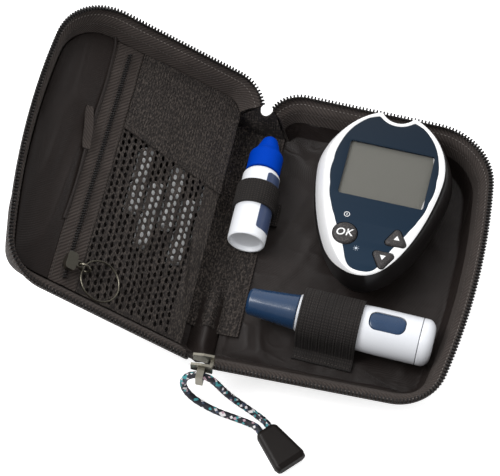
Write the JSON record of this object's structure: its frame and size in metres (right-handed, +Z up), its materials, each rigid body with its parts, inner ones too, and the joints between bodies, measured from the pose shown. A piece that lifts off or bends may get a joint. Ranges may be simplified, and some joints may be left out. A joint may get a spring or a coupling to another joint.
{
  "type": "glucose meter case",
  "caption": "Soft zip case lying open with a blood glucose meter, lancing device, control solution vial and mesh pocket, with a corded zip pull.",
  "frame": {"origin": "middle of the base half's flat underside, halfway from the hinge line to the far teeth, level with the middle of the hinge line", "axes": "+X from the hinge line across the base half, +Y towards the rear of the case along the hinge line, +Z up"},
  "size_m": [0.1945, 0.1725, 0.0791],
  "materials": {
    "shell_fabric": "coarse speckled weave",
    "lining_satin": "satin lining",
    "zip_tape": "twill tape",
    "zip_teeth": "moulded teeth",
    "pocket_mesh": "knitted mesh",
    "elastic": "ribbed elastic",
    "slider_metal": "worn plated metal",
    "ring_steel": "plated wire",
    "braided_cord": "braid with light flecks",
    "pull_plastic": "moulded, satin",
    "silver_plastic": "silver paint on plastic",
    "black_gloss": "gloss black",
    "navy_gloss": "navy gloss",
    "clear_lens": "clear window",
    "display_grey": "grey-green display",
    "button_rubber": "speckled grey rubber",
    "board_green": "circuit board",
    "plain_steel": "plain steel",
    "white_plastic": "white, satin",
    "cap_blue": "bright blue",
    "lancer_navy": "navy"
  },
  "bodies": {
    "case_base": {"base_shell": "shell_fabric", "base_lining": "lining_satin", "base_zip_tape": "zip_tape", "base_zip_chain": "zip_teeth", "spine_panel": "shell_fabric", "meter_cradle": "black_gloss", "vial_loop": "elastic", "lancer_strap": "elastic"},
    "case_lid": {"lid_shell": "shell_fabric", "lid_lining": "lining_satin", "lid_zip_tape": "zip_tape", "lid_zip_chain": "zip_teeth", "pocket_panel": "lining_satin", "pocket_zip_tape": "zip_tape", "pocket_zip_chain": "zip_teeth", "mesh_pocket": "pocket_mesh", "mesh_flap": "pocket_mesh", "pocket_ribbon": "zip_tape", "loose_lancet_1": "white_plastic", "loose_lancet_2": "white_plastic", "loose_lancet_3": "white_plastic", "loose_lancet_4": "white_plastic", "loose_lancet_5": "white_plastic"},
    "main_slider": {"zip_slider": "slider_metal"},
    "zip_pull": {"pull_cord": "braided_cord", "pull_end": "pull_plastic"},
    "inner_slider": {"pocket_slider": "slider_metal"},
    "small_ring": {"pocket_pull_ring": "ring_steel"},
    "key_ring": {"split_ring": "ring_steel"},
    "meter": {"meter_bottom_housing": "black_gloss", "meter_top_housing": "silver_plastic", "meter_face_plate": "navy_gloss", "meter_lens": "clear_lens", "meter_display": "display_grey", "meter_circuit_board": "board_green", "test_strip_port": "black_gloss", "button_pad": "button_rubber", "housing_screw_1": "plain_steel", "housing_screw_2": "plain_steel", "housing_screw_3": "plain_steel", "housing_screw_4": "plain_steel", "coin_cell_1": "plain_steel", "coin_cell_2": "plain_steel", "cell_contact": "plain_steel"},
    "ok_key": {"ok_button": "button_rubber"},
    "up_key": {"up_button": "button_rubber"},
    "down_key": {"down_button": "button_rubber"},
    "cell_door": {"battery_door": "black_gloss"},
    "vial": {"vial_bottle": "white_plastic", "vial_nozzle": "white_plastic"},
    "vial_top": {"vial_cap": "cap_blue"},
    "lancer": {"lancer_ring": "white_plastic", "lancer_body": "white_plastic", "lancer_spring": "plain_steel", "lancer_cocking_sleeve": "white_plastic"},
    "lancer_front": {"lancer_cap": "lancer_navy"},
    "lancer_trigger": {"lancer_release_button": "lancer_navy"},
    "lancer_drive": {"lancer_plunger": "white_plastic", "fitted_lancet": "white_plastic"}
  },
  "joints": [
    {"name": "lid_hinge", "type": "hinge", "parent": "case_base", "child": "case_lid", "pos_m": [-0.05145, 0, 0.0232], "axis": [0, 1, 0], "range_deg": [-33, 147], "deforming": ["spine_panel"]},
    {"name": "zip_slide", "type": "slide", "parent": "case_base", "child": "main_slider", "axis": [1, 0, 0], "range_m": [0, 0.068]},
    {"name": "pull_swing", "type": "hinge", "parent": "main_slider", "child": "zip_pull", "pos_m": [-0.05245, -0.0726, 0.021], "axis": [-1, 0, 0], "range_deg": [0, 100]},
    {"name": "pocket_zip_slide", "type": "slide", "parent": "case_lid", "child": "inner_slider", "axis": [0, 1, 0], "range_m": [0, 0.088]},
    {"name": "pull_ring_turn", "type": "hinge", "parent": "inner_slider", "child": "small_ring", "pos_m": [-0.10746, -0.0478, 0.04914], "axis": [0.5446, 0, 0.8387], "range_deg": [-6, 20]},
    {"name": "split_ring_lift", "type": "hinge", "parent": "small_ring", "child": "key_ring", "pos_m": [-0.10605, -0.04823, 0.04679], "axis": [-0.1456, -0.9848, 0.0946], "range_deg": [0, 70]},
    {"name": "meter_lift", "type": "slide", "parent": "case_base", "child": "meter", "axis": [0, 0, 1], "range_m": [0, 0.06]},
    {"name": "ok_press", "type": "slide", "parent": "meter", "child": "ok_key", "axis": [0, 0, -1], "range_m": [0, 0.0008], "stiffness_N_per_m": 400, "springref_m": -0.001},
    {"name": "up_press", "type": "slide", "parent": "meter", "child": "up_key", "axis": [0, 0, -1], "range_m": [0, 0.0008], "stiffness_N_per_m": 400, "springref_m": -0.001},
    {"name": "down_press", "type": "slide", "parent": "meter", "child": "down_key", "axis": [0, 0, -1], "range_m": [0, 0.0008], "stiffness_N_per_m": 400, "springref_m": -0.001},
    {"name": "door_slide", "type": "slide", "parent": "meter", "child": "cell_door", "axis": [-0.0384, -0.9993, 0], "range_m": [0, 0.003]},
    {"name": "vial_slide", "type": "slide", "parent": "case_base", "child": "vial", "axis": [0, -1, 0], "range_m": [0, 0.018]},
    {"name": "vial_cap_turn", "type": "hinge", "parent": "vial", "child": "vial_top", "pos_m": [-0.04815, 0.04, 0.0132], "axis": [0, 1, 0], "continuous": true},
    {"name": "lancer_slide", "type": "slide", "parent": "case_base", "child": "lancer", "axis": [-0.9986, 0.0523, 0], "range_m": [0, 0.012]},
    {"name": "lancer_cap_turn", "type": "hinge", "parent": "lancer", "child": "lancer_front", "pos_m": [-0.03136, -0.03152, 0.0142], "axis": [-0.9986, 0.0523, 0], "range_deg": [0, 270]},
    {"name": "release_press", "type": "slide", "parent": "lancer", "child": "lancer_trigger", "axis": [0, 0, -1], "range_m": [0, 0.0012], "stiffness_N_per_m": 400, "springref_m": -0.001},
    {"name": "plunger_strike", "type": "slide", "parent": "lancer", "child": "lancer_drive", "axis": [-0.9986, 0.0523, 0], "range_m": [0, 0.004], "stiffness_N_per_m": 150}
  ]
}
